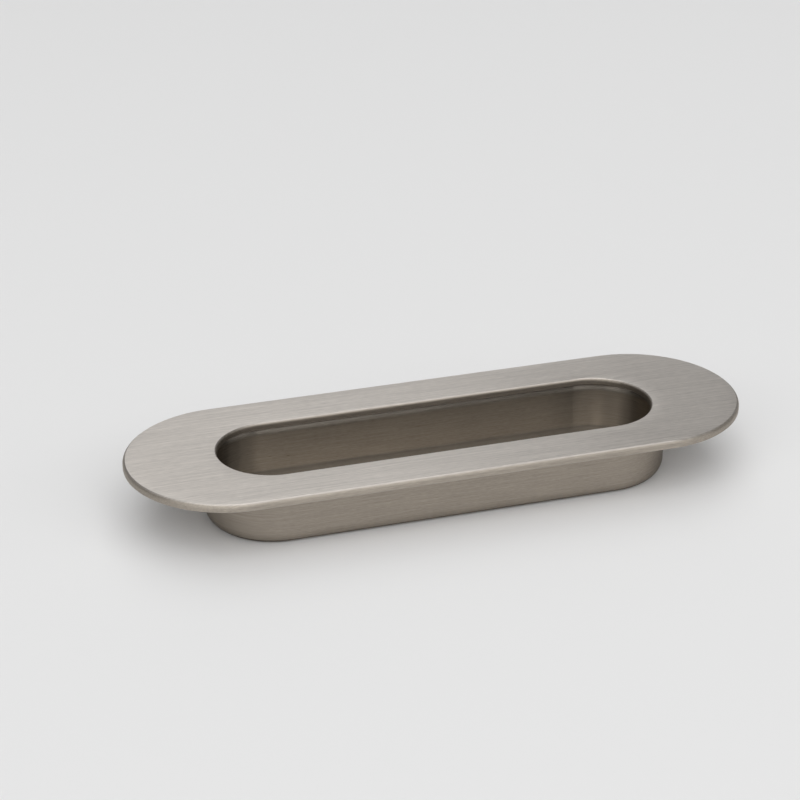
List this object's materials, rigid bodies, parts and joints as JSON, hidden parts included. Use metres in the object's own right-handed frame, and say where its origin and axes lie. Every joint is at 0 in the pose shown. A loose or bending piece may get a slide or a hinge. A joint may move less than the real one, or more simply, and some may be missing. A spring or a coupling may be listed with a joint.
{
  "type": "sliding door handle",
  "caption": "Oval flush pull for a sliding door: a flat faceplate with eased edges over a shallow drawn finger cup, in brushed satin metal.",
  "frame": {"origin": "centre of the cup's underside, on the surface that the handle stands on", "axes": "+X along the handle's length, +Y across it, +Z out of the faceplate's front"},
  "size_m": [0.12, 0.04, 0.0136],
  "materials": {
    "faceplate": "satin nickel, brushed lengthwise",
    "cup": "satin nickel, as drawn"
  },
  "bodies": {
    "root": {"faceplate": "faceplate", "cup": "cup"}
  },
  "joints": []
}
